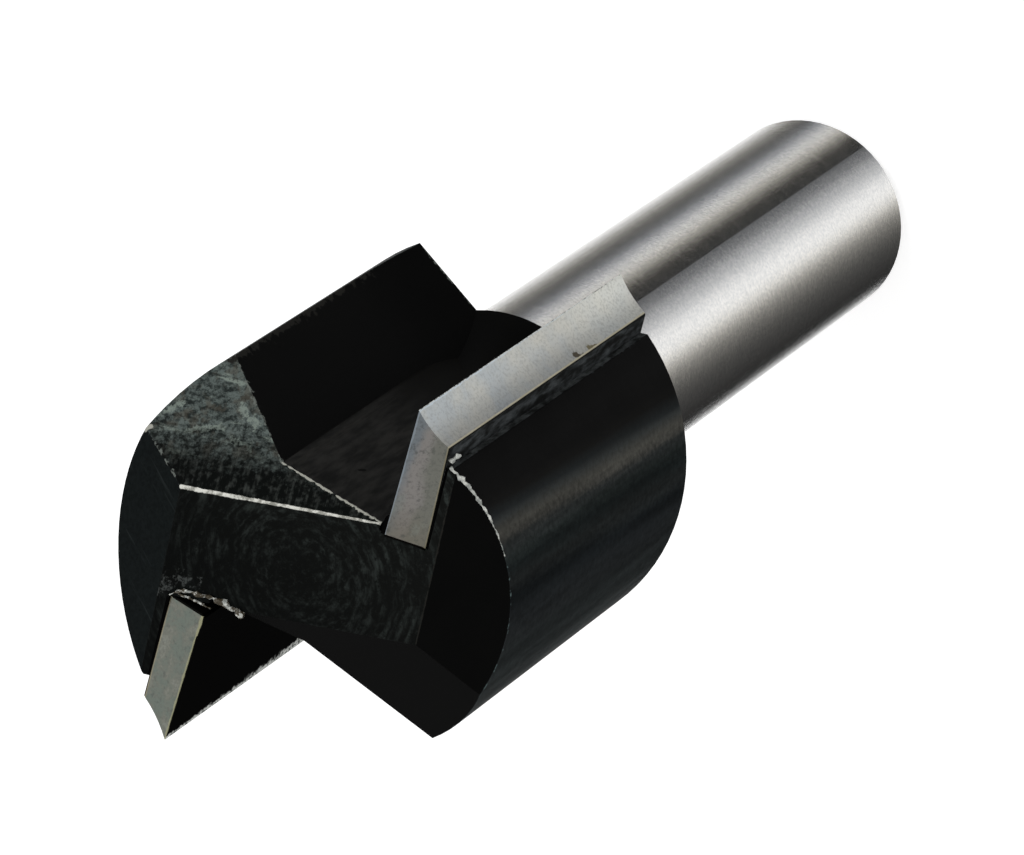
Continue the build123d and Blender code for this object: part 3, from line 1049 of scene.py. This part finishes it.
def burr(name, points, radii, tear):
    """Torn thread of metal, which rides on the body."""
    thread_curve(name, points, radii)
    bpy.ops.object.convert(target="MESH")
    thread = bpy.context.object
    bpy.ops.object.mode_set(mode="EDIT")
    bpy.ops.mesh.select_all(action="SELECT")
    bpy.ops.mesh.remove_doubles(threshold=weld_distance)
    bpy.ops.mesh.subdivide(number_cuts=2)
    bpy.ops.mesh.normals_make_consistent(inside=False)
    bpy.ops.object.mode_set(mode="OBJECT")
    ragged = thread.modifiers.new("tear", "DISPLACE")
    ragged.texture = torn_noise
    ragged.texture_coords = "LOCAL"
    ragged.strength = tear / metres_to_mm
    bpy.ops.object.modifier_apply(modifier=ragged.name)
    bpy.ops.object.shade_smooth()
    thread.data.materials.append(burr_steel)
    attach(thread, "root")
    print(name, "faces:", len(thread.data.polygons))


print("torn metal: clouds of", torn_noise.noise_scale * metres_to_mm, "mm")

# %% [markdown]
# The burr on the rim is thickest beside tip 1 and dies out along the lobe. Its points are worked
# out where the lobe meets its bevel, so it sits on the edge, and a seeded draw makes each point
# waver the same way on every run.

# %% Burr on the rim of the right lobe
rim_facing, rim_distance = Vector(lobe_bevel["Facing"]), lobe_bevel["Distance"]
rim_start, rim_end, rim_steps = -15.5, -44.0, 40
rim_thick, rim_thin = 0.155, 0.010
waver = Random(7)


def rim_point(angle, outwards, upwards):
    """Point near the rim between the right lobe and its bevel, at an azimuth in degrees."""
    flat = Vector((cos(radians(angle)), sin(radians(angle)), 0)) * head_radius
    height = (rim_distance - rim_facing.dot(flat)) / rim_facing.z
    grown = flat * (1 + outwards / head_radius)
    return (grown.x, grown.y, height + upwards)


rim_points, rim_radii = [], []
for step in range(rim_steps + 1):
    share = step / rim_steps
    angle = rim_start + (rim_end - rim_start) * share
    swell = 0.6 + 0.4 * min(1.0, share / 0.12)
    thick = rim_thick * swell * max(0.0, 1 - share / 1.05) ** 1.5 + rim_thin
    spread = 1 - share
    rim_points.append(
        rim_point(angle, waver.uniform(-0.02, 0.10) * spread, waver.uniform(-0.04, 0.07) * spread)
    )
    rim_radii.append(thick * waver.uniform(0.40, 1.25))
burr("rim_burr", rim_points, rim_radii, tear=0.12)

# %% Fleck of burr at the corner of tip 1
fleck_points = [
    (11.00, -2.62, 71.12),
    (11.10, -2.84, 71.14),
    (11.30, -2.86, 71.12),
    (11.52, -2.90, 71.10),
    (11.66, -3.00, 71.06),
]
burr("corner_fleck", fleck_points, [0.05, 0.15, 0.07, 0.15, 0.05], tear=0.10)

# %% [markdown]
# At tip 2's seat the cutter left a thick strand along the rim of the faced end, and a thin one
# inside it. Both are drawn flat, as points on that face, and the draw lifts and thickens them.

# %% Burr at the seat of tip 2
seat_outer = [
    (-6.10, 4.59), (-5.67, 4.39), (-5.34, 4.13), (-5.06, 3.68), (-4.87, 3.25), (-4.60, 2.87),
    (-4.41, 2.43), (-4.22, 2.00), (-4.28, 1.67), (-4.08, 1.32), (-4.06, 0.98), (-4.03, 0.72),
]
seat_inner = [
    (-5.75, 4.27), (-5.59, 3.95), (-5.43, 3.63), (-5.32, 3.28), (-5.21, 2.86), (-5.11, 2.44),
]


def halfway(points):
    """The same points with one more between each pair."""
    finer = []
    for first, second in zip(points, points[1:]):
        finer += [first, ((first[0] + second[0]) / 2, (first[1] + second[1]) / 2)]
    return finer + [points[-1]]


def seat_strand(name, flats, thin, thick, lift):
    """Thread along points on the faced end, growing from thin to thick, and torn by chance."""
    level = face_height + lift
    raised = [(*flat, level + waver.uniform(-0.03, 0.10)) for flat in flats]
    last = len(flats) - 1
    growth = [thin + (thick - thin) * index / last for index in range(last + 1)]
    radii = [thickness * waver.uniform(0.45, 1.45) for thickness in growth]
    radii[-1] = thin / 2
    burr(name, raised, radii, tear=0.15)


seat_strand("seat_burr", halfway(seat_outer), thin=0.08, thick=0.19, lift=0.05)
seat_strand("seat_braze_burr", halfway(seat_inner), thin=0.05, thick=0.04, lift=0.0)
